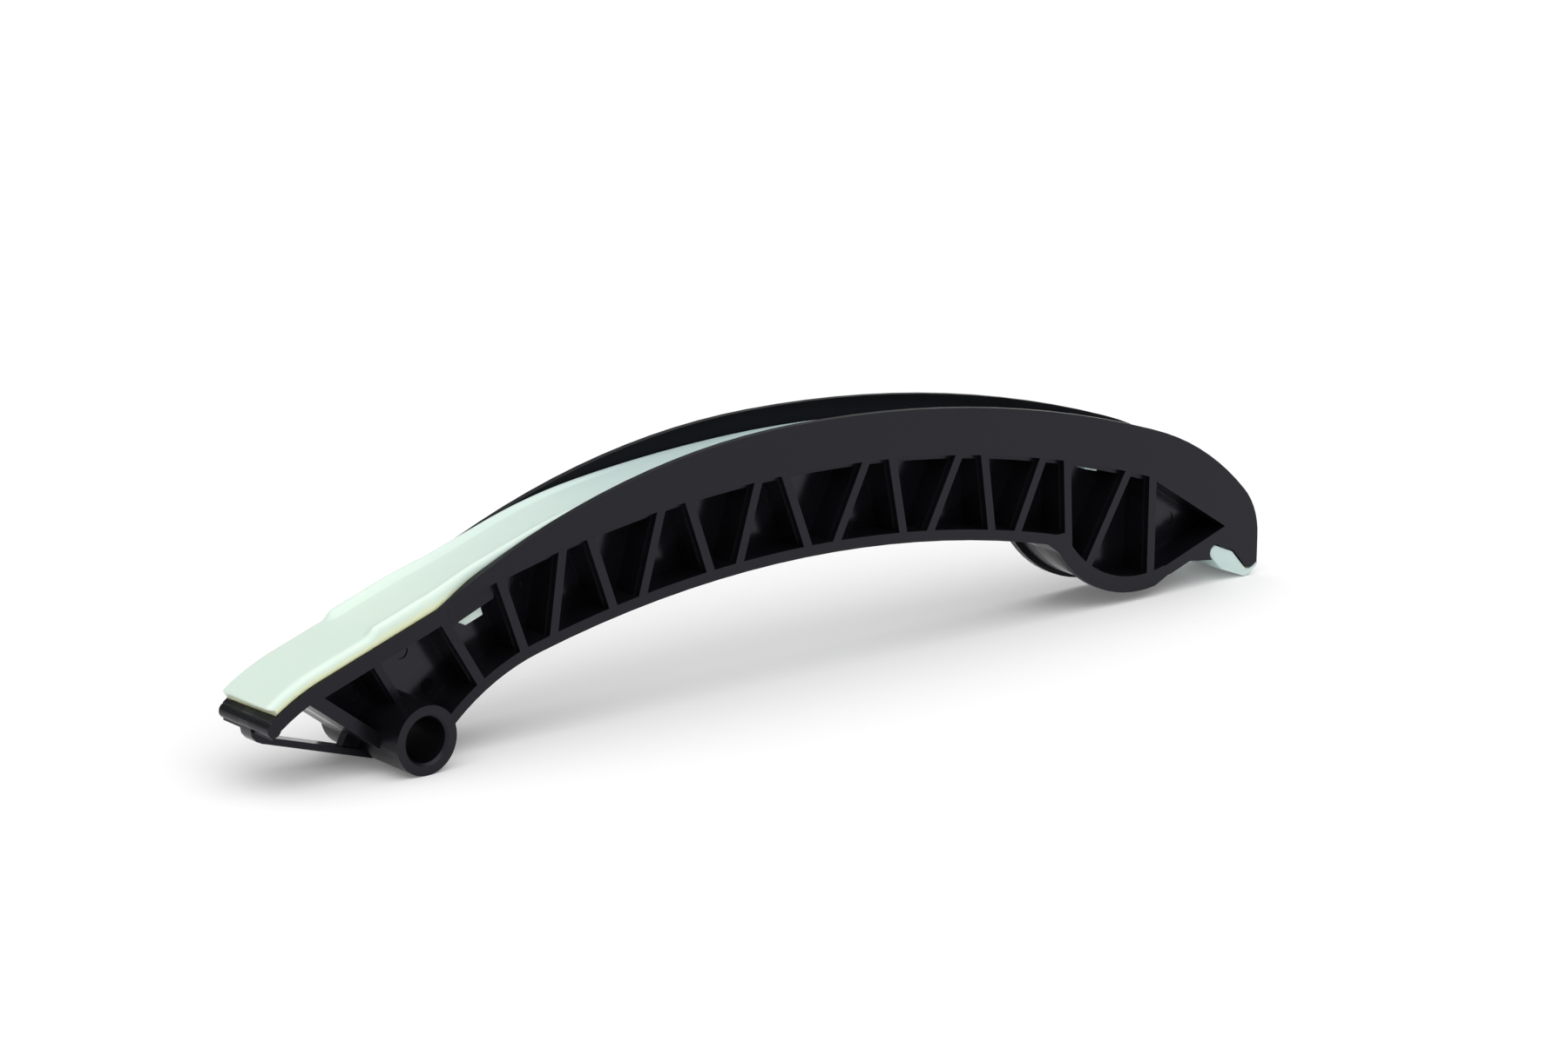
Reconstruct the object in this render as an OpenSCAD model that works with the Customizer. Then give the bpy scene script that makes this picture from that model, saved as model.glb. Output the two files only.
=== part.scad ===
// Timing chain guide: a ribbed polyamide carrier that swings on a pivot boss,
// with a clip-on slide lining for the chain.
// The profile lies in the X-Z plane, the pivot axis is Y, the origin is on the
// pivot axis at the middle of the carrier. All sizes are in millimetres.

/* [Stance] */
// turn about the pivot that sets the boss and the lining hook level
stance_deg = 0.57; // [0:0.01:3]

/* [Carrier] */
// overall width of the carrier between its outer faces
carrier_w = 14.4; // [12:0.1:18]
// thickness of the flanges and of the outer skin of the ribs
skin_t = 1.2; // [0.8:0.1:2]
// thickness of the central web
web_t = 1.7; // [1.2:0.1:3]
// thickness of the lining seat over the long arc
seat_t = 3.1; // [2:0.1:5]
// how much deeper the seat is behind the outer skin
seat_step = 0.85; // [0.2:0.05:1.5]
// thickness of the lower chord
low_t = 2.0; // [1.5:0.1:3]
// depth from the lining seat to the top of the lower chord
truss_h = 16.9; // [12:0.1:22]

/* [Long arc] */
// X of the centre of the long arc
arc_x = 83.3; // [70:0.1:100]
// height of the seat at the crest of the long arc
crest_z = 34.1; // [32:0.1:36]
// radius of the seat under the lining
arc_r = 263.9; // [255:0.1:275]
// height of the side flanges above the seat
flange_h = 5.6; // [4:0.1:8]
// radius of the rising start of the side flanges
flange_rise_r = 162.5; // [100:0.5:200]
// X where the side flanges start
flange_x = 5.0; // [2:0.5:20]

/* [Entry ramp] */
// X of the point where the ramp joins the nose
ramp_x = -17.2; // [-20:0.1:-10]
// slope of the ramp
ramp_deg = 18.47; // [15:0.01:22]
// radius of the blend between the ramp and the long arc
blend_r = 110; // [80:1:150]
// angle about the long arc centre where the blend meets the long arc
blend_deg = 98.37; // [97:0.01:100]
// thickness of the seat under the ramp
ramp_t = 2.95; // [2:0.05:4]
// radius of the nose
nose_r = 38; // [30:0.5:60]
// thickness of the nose plate
nose_t = 2.5; // [1.5:0.1:3]
// angle about the nose centre where the nose plate ends
nose_deg = 125.6; // [124:0.1:127]
// radius of the bead across the end of the nose
bead_r = 1.35; // [1:0.05:2]

/* [Pivot boss] */
// pivot bore for the shouldered bolt
bore_d = 8.0; // [6:0.1:12]
// outside of the pivot boss
boss_d = 12.25; // [10:0.05:18]
// how far the boss stands out of the near face
boss_near = 5.5; // [0:0.1:10]
// how far the boss stands out of the far face
boss_far = 2.4; // [0:0.1:5]
// lead-in at each mouth of the bore
bore_lead = 0.5; // [0:0.1:1]

/* [Ribs] */
// thickness of a rib at the outer faces
rib_t = 1.75; // [1.2:0.05:3]
// how much thicker a rib is behind the outer skin
rib_step = 0.6; // [0:0.05:1]
// stations of the rib pairs on the upper chord
top_stations = [35.6, 57.1, 78.75, 103.7, 125.85, 146.45, 168.2];
// stations of the rib pairs on the lower chord
low_stations = [27.65, 46.85, 68.35, 90.5, 112.65, 134.0, 153.1];
// distance between the ribs of a pair on the upper chord
top_gap = 5.6; // [4:0.1:8]
// distance between the ribs of a pair on the lower chord
low_gap = 6.0; // [4:0.1:8]
// thickness of the strut between the nose and the boss
strut_t = 2.3; // [1.5:0.1:4]
// thickness of the tie bar across the width
tie_w = 3.2; // [2:0.1:6]
// height of the tie bar
tie_t = 1.25; // [1:0.05:3]

/* [Tensioner pad] */
// X of the centre of the tensioner pad
pad_x = 168.9; // [166:0.1:172]
// Z of the centre of the tensioner pad
pad_z = 19.9; // [18:0.1:22]
// radius of the two rims beside the pad
pad_rim_r = 25.75; // [24:0.05:28]
// how far the pad lies below its rims
pad_recess = 0.9; // [0.3:0.1:1.5]
// width of each rim
pad_rim_w = 1.5; // [1:0.1:3]
// thickness of the pad wall at the rims
pad_t = 3.1; // [2:0.1:5]

/* [Chain exit end] */
// angle about the long arc centre where the end turn starts
end_deg = 66.5; // [60:0.1:72]
// radius of the end turn under the lining
end_r = 15.0; // [12:0.1:18]
// X where the flange leaves the long arc
tip_x = 172.0; // [165:0.5:180]
// radius of the falling flange
tip_r = 58.7; // [45:0.1:80]
// angle where the falling flange meets the tip turn
tip_deg = 43.1; // [35:0.1:55]
// how far the flanges reach past the seat at the very end
tip_over = 1.8; // [1:0.1:2.5]

/* [Slide lining] */
// thickness of the lining
lining_t = 2.0; // [1.5:0.1:3.5]
// gap on each side between the lining and the flanges
lining_gap = 0.15; // [0.05:0.05:0.5]
// gap between the seat and the underside of the lining
seat_gap = 0.1; // [0.05:0.05:0.3]
// height of the side lips above the running face
lip_h = 0.8; // [0.3:0.1:1.5]
// width of each side lip
lip_w = 1.5; // [0.8:0.1:2.5]
// X where the side lips start
lip_x = -5.6; // [-15:0.1:5]
// angle about the nose centre where the lining ends
lining_deg = 123.7; // [120:0.1:125]
// gap all round the lining hook and the locking lugs
hook_gap = 0.2; // [0.1:0.05:0.3]
// radius of the rounded end of the lining hook
hook_r = 1.33; // [1.25:0.01:1.4]
// how far the hook lies inside the outer faces of the carrier
hook_inset = 0.1; // [0:0.05:1]
// length of a locking lug along the guide
lug_l = 5.0; // [3:0.1:8]
// width of a locking lug
lug_w = 2.5; // [1.5:0.1:3.5]
// distance from the middle of the guide to the middle of a lug
lug_y = 3.6; // [2.5:0.1:4.5]
// X of the lugs on the ramp
lug_ramp_x = 13.05; // [12:0.05:15]
// depth of the lugs on the ramp below the seat
lug_ramp_h = 6.75; // [5:0.05:8]
// X of the lugs on the long arc
lug_arc_x = 156.7; // [150:0.1:165]
// depth of the lugs on the long arc below the seat
lug_arc_h = 4.8; // [4:0.1:5.5]

/* [Hidden] */
$fn = 96;
// how far a small arc stands proud where it runs into a larger one
lap = 0.002;
half_w = carrier_w / 2;
core_half = half_w - skin_t;
lining_half = core_half - lining_gap;
arc_z = crest_z - arc_r;
arc_c = [arc_x, arc_z];
flange_r = arc_r + flange_h;
low_r = arc_r - truss_h;
seat_low_r = arc_r - seat_t;
ramp_n = [-sin(ramp_deg), cos(ramp_deg)];
blend_c = arc_c + (arc_r - blend_r) * dir2(blend_deg);
ramp_end = blend_c + blend_r * ramp_n;
ramp_z = ramp_end[1] - (ramp_end[0] - ramp_x) * tan(ramp_deg);
ramp_p = [ramp_x, ramp_z];
nose_c = ramp_p - nose_r * ramp_n;
blend_end = arc_c + arc_r * dir2(blend_deg);
end_c = arc_c + (arc_r - end_r) * dir2(end_deg);
end_p = arc_c + arc_r * dir2(end_deg);
exit_p = end_c + [end_r, 0];
tip_end = exit_p[0] + tip_over;
reach = tip_end + 10;
rise_c = [arc_x, arc_z + flange_r - flange_rise_r];
tip_p = [tip_x, arc_height(flange_r, tip_x)];
tip_c = tip_p - tip_r * (tip_p - arc_c) / flange_r;
turn_p = tip_c + tip_r * dir2(tip_deg);
turn_r = (tip_end - turn_p[0]) / (1 - cos(tip_deg));
turn_c = turn_p - turn_r * dir2(tip_deg);
start_r = 42.8;
start_x = 27;
start_p = [start_x, arc_height(low_r, start_x)];
start_c = start_p - start_r * (start_p - arc_c) / low_r;
start_deg = atan2(start_p[1] - arc_z, start_p[0] - arc_x);
bead_c = nose_c + (nose_r - bead_r - 0.1) * dir2(nose_deg + 0.7);
ramp_low_x = 8;
pocket_x = pad_x + 3.3;
pocket_top = arc_height(seat_low_r, pocket_x) - 0.58;
pocket_low = -3.1;
pocket_tip = exit_p + [-6.95, 4.5];
hook_c = exit_p + [-9.25, -0.31];

function dir2(a) = [cos(a), sin(a)];
function arc_height(r, x) = arc_z + sqrt(r * r - pow(x - arc_x, 2));
function ramp_height(x) = ramp_z + (x - ramp_x) * tan(ramp_deg);
function under_ramp(x, drop) = [x, ramp_height(x) - drop];
function on_arc(r, x) = [x, arc_height(r, x)];
function arc_slope(x) = -asin((x - arc_x) / arc_r);

// turns a drawn profile up into the X-Z plane and gives it its width
module across(w) {
    rotate([90, 0, 0]) linear_extrude(height = w, center = true) children();
}

// the same profile as two outer skins
module skins() {
    for (s = [-1, 1])
        translate([0, s * (half_w - skin_t / 2), 0]) across(skin_t) children();
}

module stance() {
    rotate([0, -stance_deg, 0]) children();
}

module disc(c, r) {
    translate(c) circle(r = r, $fn = 180);
}

// everything between two X values, high enough for the whole guide
module strip(x0, x1, z0 = -40, z1 = 60) {
    translate([x0, z0]) square([x1 - x0, z1 - z0]);
}

module slat(p, q, t) {
    v = q - p;
    translate(p) rotate(atan2(v[1], v[0])) translate([0, -t / 2]) square([norm(v), t]);
}

// area below the seat of the lining, or below a face a set height above the seat
module below_seat(rise = 0) {
    foot = nose_c + (nose_r + rise) * dir2(nose_deg);
    low = ramp_p + rise * ramp_n;
    high = ramp_end + rise * ramp_n;
    far = blend_end + rise * dir2(blend_deg);
    last = end_p + rise * dir2(end_deg);
    right = end_c[0] + end_r + rise;
    intersection() { disc(nose_c, nose_r + rise + lap); strip(foot[0], low[0] + 2); }
    polygon([[low[0], -40], [high[0], -40], high, low]);
    intersection() { disc(blend_c, blend_r + rise + lap); strip(high[0] - 2, far[0] + 2); }
    intersection() { disc(arc_c, arc_r + rise); strip(far[0], last[0]); }
    intersection() { disc(end_c, end_r + rise + lap); strip(last[0] - 2, right + 1, end_c[1] - 1); }
    strip(last[0] - 2, right, -40, end_c[1]);
}

// area below the upper chord, which the pockets are cut from
module below_chord(drop = 0) {
    intersection() { disc(nose_c, nose_r - nose_t); strip(-32, ramp_x - 1.5); }
    polygon([[ramp_x - 1.6, -40], [ramp_low_x, -40],
             [ramp_low_x, ramp_height(ramp_low_x) - ramp_t / cos(ramp_deg)],
             [ramp_x - 1.6, ramp_height(ramp_x - 1.6) - ramp_t / cos(ramp_deg)]]);
    intersection() { disc(arc_c, seat_low_r - drop); strip(ramp_low_x, pocket_x - 1); }
}

// area below the top of the side flanges
module below_flange() {
    intersection() { disc(rise_c, flange_rise_r + lap); strip(flange_x, arc_x + 3); }
    intersection() { disc(arc_c, flange_r); strip(arc_x, tip_x); }
    intersection() { disc(tip_c, tip_r + lap); strip(tip_x - 2, turn_p[0]); }
    intersection() { disc(turn_c, turn_r + 2 * lap); strip(turn_p[0] - 2, tip_end + 1, turn_c[1] - 1); }
    strip(turn_p[0] - 2, tip_end, -40, turn_c[1]);
}

// clear space under the exit end: below the jaw and the notch for the hook
module end_clear() {
    polygon(concat(
        [[pocket_x - 2, -41], [pocket_x - 2, pad_z - 24.1], [pad_x + 7.6, pad_z - 23.9]],
        [for (p = [[-16.05, -0.81], [-9.5, -1.71], [-9.25, -0.31], [-9.25, 0.99], [-4.55, -0.66],
                   [-1.55, -4.06], [-0.85, -4.66], [0.05, -4.86], [0.95, -4.51], [1.85, -4.01],
                   [tip_over + 1, -3.76], [tip_over + 1, -40]]) exit_p + p]));
    disc(hook_c, hook_r + hook_gap);
}

module end_pocket() {
    polygon([[pocket_x, pocket_top], pocket_tip, [pocket_x, pocket_low]]);
}

// seat band of the upper chord
module seat_band(drop = 0) {
    difference() {
        intersection() { below_seat(); strip(-40, pocket_x - 1); }
        below_chord(drop);
    }
}

module end_block() {
    difference() {
        intersection() { below_seat(); strip(pocket_x - 1.5, reach); }
        end_pocket();
        end_clear();
    }
}

module flange_band() {
    difference() {
        intersection() { below_flange(); strip(flange_x, reach); }
        below_chord();
        intersection() { strip(pocket_x - 1.2, reach); union() { end_pocket(); end_clear(); } }
    }
}

// area below the top of the lower chord, or a set depth under it
module below_low(drop = 0) {
    join = start_c + (start_r - drop) * dir2(start_deg);
    intersection() { disc(arc_c, low_r - drop); strip(join[0], 155); }
    intersection() { disc(start_c, start_r - drop + lap); strip(3, join[0] + 2); }
}

// lower chord, run into the underside of the boss
module lower_chord() {
    difference() {
        intersection() { below_low(); strip(3, 151, -8); }
        below_low(low_t);
        polygon([[-2, -20], [-2, -4.26], [4.2, -4.26], [9.3, -1.2], [14, -20]]);
    }
}

// wall of the tensioner pad, run out into the chord and the jaw
module pad_wall() {
    translate([pad_x, pad_z]) difference() {
        union() {
            intersection() {
                difference() { circle(r = pad_rim_r, $fn = 180); circle(r = pad_rim_r - pad_t, $fn = 180); }
                strip(-24.9, 5.9, -29.9, -11.1);
            }
            polygon([[-23.9, -12.65], [-18.7, -11.7], [-18.7, -15.3], [-20.8, -14.95]]);
            polygon([[4.7, -22.5], [4.7, -25.1], [7.1, -24.5], [9.3, -23.2], [9.3, -21.4]]);
        }
        polygon([[2.6, -26.0], [10.1, -22.475], [10.1, -29], [2.6, -29]]);
    }
}

// one rib between the two chords, drawn past both of them
module rib(x_top, x_low, t) {
    slat(on_arc(seat_low_r + 0.8, x_top), on_arc(low_r - 0.8, x_low), t);
}

module ribs(t) {
    last = len(top_stations) - 1;
    for (i = [0 : last - 1]) {
        rib(top_stations[i] - top_gap / 2, low_stations[i] + low_gap / 2, t);
        rib(top_stations[i] + top_gap / 2, low_stations[i + 1] - low_gap / 2, t);
    }
    slat(on_arc(seat_low_r + 0.8, top_stations[last] - top_gap / 2), [pad_x - 14, pad_z - 18.95], t);
    rib(19.2, low_stations[0] - low_gap / 2, t);
    slat(under_ramp(6.67, 0.6), [15.6, 5.4], t);
    slat(under_ramp(-6.4, 2.55), [-1.2, 5.0], t * 0.82);
    slat(on_arc(seat_low_r + 0.8, pad_x + 2.3), [pad_x + 2.3, pad_z - 24.3], t);
}

// thin wall in the middle of the width, run into the chords all round
module web_sheet() {
    polygon(concat(
        [for (x = [ramp_x - 0.6, 0, 12, 22]) [x, ramp_height(x) - 1.2]],
        [for (x = [36 : 15 : 171]) on_arc(seat_low_r + 1.2, x)],
        [[180, 11.5], pocket_tip + [0.9, 0.25], pocket_tip + [1.4, -0.55], [180, -1.6], [174, -3.9],
         [168, -4.4], [160.5, -2.6], [154.5, 1.0], [150, 6.2]],
        [for (x = [145 : -13 : 28]) on_arc(low_r - low_t / 2, x)],
        [[19, 7.4], [13, 3.4], [8, -1.4], [0, -3], [-3.0, -4.6], [-9.4, -2.7], [-7.3, 0.9],
         [-18.2, 9.6]]));
}

module tie_bar() {
    polygon(concat(
        [for (p = [[1.2, -0.37], [-0.95, -0.17], [-0.95, -1.37], [-0.7, -2.47], [0.1, -3.42], [1.2, -3.97]])
            bead_c + p],
        [[-3.4, -5.25], [-2.4, -5.56 + tie_t], bead_c + [2.4, -4.35 + tie_t]]));
}

// deep ledge under the ramp that the first pair of lugs passes through
module lug_ledge() {
    polygon([under_ramp(9.4, 1.73), under_ramp(9.7, 5.08), under_ramp(18.9, 4.61), under_ramp(19.2, 0.51)]);
}

// one pair of lugs standing in the local frame of its seat
module lug_pair(l, w, h) {
    for (s = [-1, 1])
        translate([-l / 2, s * lug_y - w / 2, -h]) cube([l, w, h + 0.4]);
}

module at_ramp_lugs() {
    translate([lug_ramp_x, 0, ramp_height(lug_ramp_x)]) rotate([0, -ramp_deg, 0]) children();
}

module at_arc_lugs() {
    translate([lug_arc_x, 0, arc_height(arc_r, lug_arc_x)])
        rotate([0, -arc_slope(lug_arc_x), 0]) children();
}

module boss_body() {
    rotate([90, 0, 0]) translate([0, 0, -half_w - boss_far])
        cylinder(d = boss_d, h = carrier_w + boss_far + boss_near);
}

module boss_bore() {
    h = carrier_w + boss_far + boss_near;
    rotate([90, 0, 0]) translate([0, 0, -half_w - boss_far]) {
        translate([0, 0, -1]) cylinder(d = bore_d, h = h + 2);
        translate([0, 0, -0.01]) cylinder(d1 = bore_d + 2 * bore_lead, d2 = bore_d, h = bore_lead);
        translate([0, 0, h - bore_lead + 0.01])
            cylinder(d1 = bore_d, d2 = bore_d + 2 * bore_lead, h = bore_lead);
    }
}

// shallow round ejector marks on both faces of the web
module ejector_marks() {
    for (p = [[8.6, 4.9], [3.3, 12.1], [-6.7, 6.4], [27.4, 18.9], [181.5, 4.7]])
        for (s = [-1, 1])
            translate([p[0], s * (web_t / 2), p[1]]) rotate([90, 0, 0])
                cylinder(r = 1.35, h = 0.4, center = true, $fn = 32);
}

module carrier() color([0.16, 0.16, 0.17]) stance() difference() {
    union() {
        across(carrier_w) {
            seat_band();
            end_block();
            lower_chord();
            pad_wall();
            ribs(rib_t);
            slat(under_ramp(-19.45, 1.69), [-4.9, -0.97], strut_t);
        }
        across(2 * core_half) {
            seat_band(seat_step);
            ribs(rib_t + rib_step);
            lug_ledge();
        }
        skins() flange_band();
        across(web_t) web_sheet();
        across(tie_w) tie_bar();
        translate([bead_c[0], 0, bead_c[1]]) rotate([90, 0, 0])
            cylinder(r = bead_r, h = carrier_w, center = true);
        boss_body();
    }
    boss_bore();
    across(carrier_w - 2 * pad_rim_w) intersection() {
        difference() {
            disc([pad_x, pad_z], pad_rim_r + 2);
            disc([pad_x, pad_z], pad_rim_r - pad_recess);
        }
        strip(140, 173.6, -10, 5.2);
    }
    at_ramp_lugs() lug_pair(lug_l + 2 * hook_gap, lug_w + 2 * hook_gap, lug_ramp_h + 1.3);
    at_arc_lugs() lug_pair(lug_l + 2 * hook_gap, lug_w + 2 * hook_gap, lug_arc_h + 1.2);
    ejector_marks();
}

// flat band of the lining from the nose to the hook
module lining_band() {
    cut = dir2(lining_deg);
    edge = nose_c + (nose_r + seat_gap) * cut;
    difference() {
        below_seat(seat_gap + lining_t);
        below_seat(seat_gap);
        strip(end_p[0], reach, -41, end_c[1] - 1);
        polygon([edge - 70 * cut, edge + 20 * cut, edge + 20 * cut - [60, 0], edge - [60, 60]]);
    }
}

// side lip along the running face, run in with a slope at its start
module lip_band() {
    foot = [lip_x, ramp_height(lip_x) + (seat_gap + lining_t) / cos(ramp_deg)];
    difference() {
        below_seat(seat_gap + lining_t + lip_h);
        below_seat(seat_gap + lining_t - 0.3);
        strip(end_p[0], reach, -41);
        polygon([foot - 2 * dir2(ramp_deg + 35), foot + 4 * dir2(ramp_deg + 35),
                 foot + [-40, 4], foot - [40, 70], foot - [0, 70]]);
    }
}

// stem of the hook, between the flanges
module hook_stem() {
    translate(exit_p + [seat_gap, 0])
        polygon([[0.05, -0.5], [lining_t - 0.1, -0.5], [lining_t - 0.1, -4.4], [1.1, -4.95], [0.05, -5.35]]);
}

// hook of the lining round the tip of the carrier
module hook() {
    translate(exit_p)
        polygon([[-9.25, -0.31], [-10.14, -1.18], [-7.25, -4.11], [-1.1, -6.53], [0.29, -6.08],
                 [1.95, -4.9], [2.07, -4.11], [0.9, -4.73], [0.05, -5.06], [-0.95, -4.86],
                 [-1.7, -4.18], [-4.65, -0.9], [-8.95, 0.82]]);
    disc(hook_c, hook_r);
}

module slide_lining() color([0.87, 0.91, 0.88]) stance() {
    across(2 * lining_half) { lining_band(); hook_stem(); }
    across(carrier_w - 2 * hook_inset) hook();
    for (s = [-1, 1])
        translate([0, s * (lining_half - lip_w / 2), 0]) across(lip_w) lip_band();
    difference() {
        at_ramp_lugs() lug_pair(lug_l, lug_w, lug_ramp_h);
        at_ramp_lugs() translate([-lug_l / 2, 0, -lug_ramp_h]) rotate([0, 45, 0])
            cube([1.6, 20, 1.6], center = true);
    }
    at_arc_lugs() lug_pair(lug_l, lug_w, lug_arc_h);
}

carrier();
slide_lining();
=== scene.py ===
"""Timing chain guide: a ribbed black carrier with a pale clip-on slide lining, in a white studio."""

import logging
import math
from dataclasses import dataclass
from enum import Enum
from typing import Any

import bmesh
import bpy
from mathutils import Matrix, Vector

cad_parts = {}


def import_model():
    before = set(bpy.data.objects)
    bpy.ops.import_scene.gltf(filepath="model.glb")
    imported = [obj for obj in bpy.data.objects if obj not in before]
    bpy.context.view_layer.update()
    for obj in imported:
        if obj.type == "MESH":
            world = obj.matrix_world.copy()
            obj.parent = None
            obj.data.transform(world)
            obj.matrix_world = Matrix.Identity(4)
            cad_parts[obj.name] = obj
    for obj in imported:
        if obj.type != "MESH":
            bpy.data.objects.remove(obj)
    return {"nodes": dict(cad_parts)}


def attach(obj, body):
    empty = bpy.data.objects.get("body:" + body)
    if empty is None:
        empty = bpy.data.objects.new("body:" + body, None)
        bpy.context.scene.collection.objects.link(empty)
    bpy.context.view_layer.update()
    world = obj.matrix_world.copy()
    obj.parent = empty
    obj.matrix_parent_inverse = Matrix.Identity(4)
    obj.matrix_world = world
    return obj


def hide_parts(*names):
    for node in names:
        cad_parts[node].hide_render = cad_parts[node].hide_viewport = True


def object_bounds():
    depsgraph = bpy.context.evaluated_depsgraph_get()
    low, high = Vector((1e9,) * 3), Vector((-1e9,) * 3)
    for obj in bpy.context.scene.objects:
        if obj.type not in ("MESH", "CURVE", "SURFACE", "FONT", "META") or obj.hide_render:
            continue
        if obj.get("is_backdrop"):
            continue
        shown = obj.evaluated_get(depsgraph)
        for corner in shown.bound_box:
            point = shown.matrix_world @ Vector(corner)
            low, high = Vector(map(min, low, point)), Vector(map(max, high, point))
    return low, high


LOG = logging.getLogger("chain_guide")
MM = 0.001
TINY = 0.01

Point = tuple[float, float]


class Slot(Enum):
    """Material slots of the record."""

    CARRIER = "carrier"
    LINING = "lining"


def linear(code: str) -> tuple[float, float, float, float]:
    """Turn an sRGB hex colour into linear values.

    Args:
        code: six hex digits.

    Returns:
        Red, green, blue and an alpha of one.
    """
    parts = [int(code[i:i + 2], 16) / 255 for i in (0, 2, 4)]
    flat = [c / 12.92 if c <= 0.04045 else ((c + 0.055) / 1.055) ** 2.4 for c in parts]
    return flat[0], flat[1], flat[2], 1.0


def smooth(value: float, low: float, high: float) -> float:
    """Return an S-shaped share that grows from 0 at the low value to 1 at the high value."""
    t = min(1.0, max(0.0, (value - low) / (high - low)))
    return t * t * (3 - 2 * t)


def add_node(tree: bpy.types.NodeTree, kind: str, inputs: dict[Any, Any] | None = None,
             **settings: Any) -> bpy.types.Node:
    """Add a node with its settings, its values and its links.

    Args:
        tree: the node tree.
        kind: the node's type name.
        inputs: socket name or number to a value, or to a socket to link from.
        **settings: properties of the node.

    Returns:
        The new node.
    """
    node = tree.nodes.new(kind)
    for name, value in settings.items():
        setattr(node, name, value)
    for key, value in (inputs or {}).items():
        if isinstance(value, bpy.types.NodeSocket):
            tree.links.new(value, node.inputs[key])
        else:
            node.inputs[key].default_value = value
    return node


def new_material(name: str) -> bpy.types.Material:
    """Make an empty node material.

    Args:
        name: name of the material.

    Returns:
        The material, with no nodes in it.
    """
    material = bpy.data.materials.new(name)
    material.use_nodes = True
    material.node_tree.nodes.clear()
    return material


def link_object(name: str, data: bpy.types.ID) -> bpy.types.Object:
    """Make an object at the origin and put it in the scene.

    Args:
        name: name of the object.
        data: its mesh, curve, light or camera data.

    Returns:
        The new object.
    """
    thing = bpy.data.objects.new(name, data)
    bpy.context.scene.collection.objects.link(thing)
    return thing


def plain_mesh(thing: bpy.types.Object) -> bpy.types.Mesh:
    """Return the evaluated shape of an object as a mesh of its own."""
    graph = bpy.context.evaluated_depsgraph_get()
    return bpy.data.meshes.new_from_object(thing.evaluated_get(graph), depsgraph=graph)


@dataclass(frozen=True)
class GuideProfile:
    """Seat line of the guide in the X-Z plane, in millimetres, before it is turned to its stance."""

    stance_deg: float = 0.57
    arc_x: float = 83.3
    arc_z: float = -229.8
    arc_r: float = 263.9
    ramp_x: float = -17.2
    ramp_deg: float = 18.47
    blend_r: float = 110.0
    blend_deg: float = 98.37
    nose_r: float = 38.0
    nose_deg: float = 124.3
    nose_fine: float = 3.0
    end_deg: float = 66.5
    end_r: float = 15.0

    def stance(self) -> Matrix:
        """Return the turn about the pivot that stands the guide on its floor."""
        return Matrix.Rotation(-math.radians(self.stance_deg), 4, "Y")

    def turned(self, point: Point) -> Point:
        """Turn a point of the profile to the stance of the guide."""
        c, s = math.cos(math.radians(self.stance_deg)), math.sin(math.radians(self.stance_deg))
        return point[0] * c - point[1] * s, point[0] * s + point[1] * c

    @staticmethod
    def polar(centre: Point, radius: float, degrees: float) -> Point:
        """Return the point at a radius and an angle about a centre."""
        a = math.radians(degrees)
        return centre[0] + radius * math.cos(a), centre[1] + radius * math.sin(a)

    def arc_centre(self) -> Point:
        """Return the centre of the long arc."""
        return self.arc_x, self.arc_z

    def blend_centre(self) -> Point:
        """Return the centre of the blend between the ramp and the long arc."""
        return self.polar(self.arc_centre(), self.arc_r - self.blend_r, self.blend_deg)

    def end_centre(self) -> Point:
        """Return the centre of the turn at the exit end."""
        return self.polar(self.arc_centre(), self.arc_r - self.end_r, self.end_deg)

    def exit_point(self) -> Point:
        """Return the point of the seat that lies furthest along the guide."""
        return self.polar(self.end_centre(), self.end_r, 0.0)

    def ramp_height(self, x: float) -> float:
        """Return the height of the ramp line at an X value."""
        end = self.polar(self.blend_centre(), self.blend_r, 90 + self.ramp_deg)
        return end[1] + (x - end[0]) * math.tan(math.radians(self.ramp_deg))

    def arc(self, centre: Point, radius: float, start: float, end: float, step: float) -> list[Point]:
        """Return points along an arc.

        Args:
            centre: centre of the arc.
            radius: radius of the arc.
            start: first angle in degrees.
            end: last angle in degrees.
            step: longest distance between two points.

        Returns:
            The points, both ends among them.
        """
        count = max(2, math.ceil(abs(math.radians(end - start)) * radius / step))
        return [self.polar(centre, radius, start + (end - start) * i / count) for i in range(count + 1)]

    def seat_line(self, rise: float, step: float, fine: float) -> list[Point]:
        """Return the line a set height above the seat, from the nose to the foot of the exit end.

        Args:
            rise: height above the seat.
            step: longest distance between two points.
            fine: distance between two points near the nose and on the ramp.

        Returns:
            The points in order.
        """
        foot = (self.ramp_x, self.ramp_height(self.ramp_x))
        flat = 90 + self.ramp_deg
        nose = self.polar(foot, -self.nose_r, flat)
        near = self.nose_deg - math.degrees(self.nose_fine / self.nose_r)
        line = self.arc(nose, self.nose_r + rise, self.nose_deg, near, fine)
        line += self.arc(nose, self.nose_r + rise, near, flat, step)[1:]
        blend = self.arc(self.blend_centre(), self.blend_r + rise, flat, self.blend_deg, step)
        start, run = line[-1], math.dist(line[-1], blend[0])
        count = math.ceil(run / (2 * fine))
        line += [(start[0] + (blend[0][0] - start[0]) * i / count, start[1] + (blend[0][1] - start[1]) * i / count)
                 for i in range(1, count)]
        line += blend
        line += self.arc(self.arc_centre(), self.arc_r + rise, self.blend_deg, self.end_deg, step)[1:]
        line += self.arc(self.end_centre(), self.end_r + rise, self.end_deg, 0, step / 2)[1:]
        return line


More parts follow.
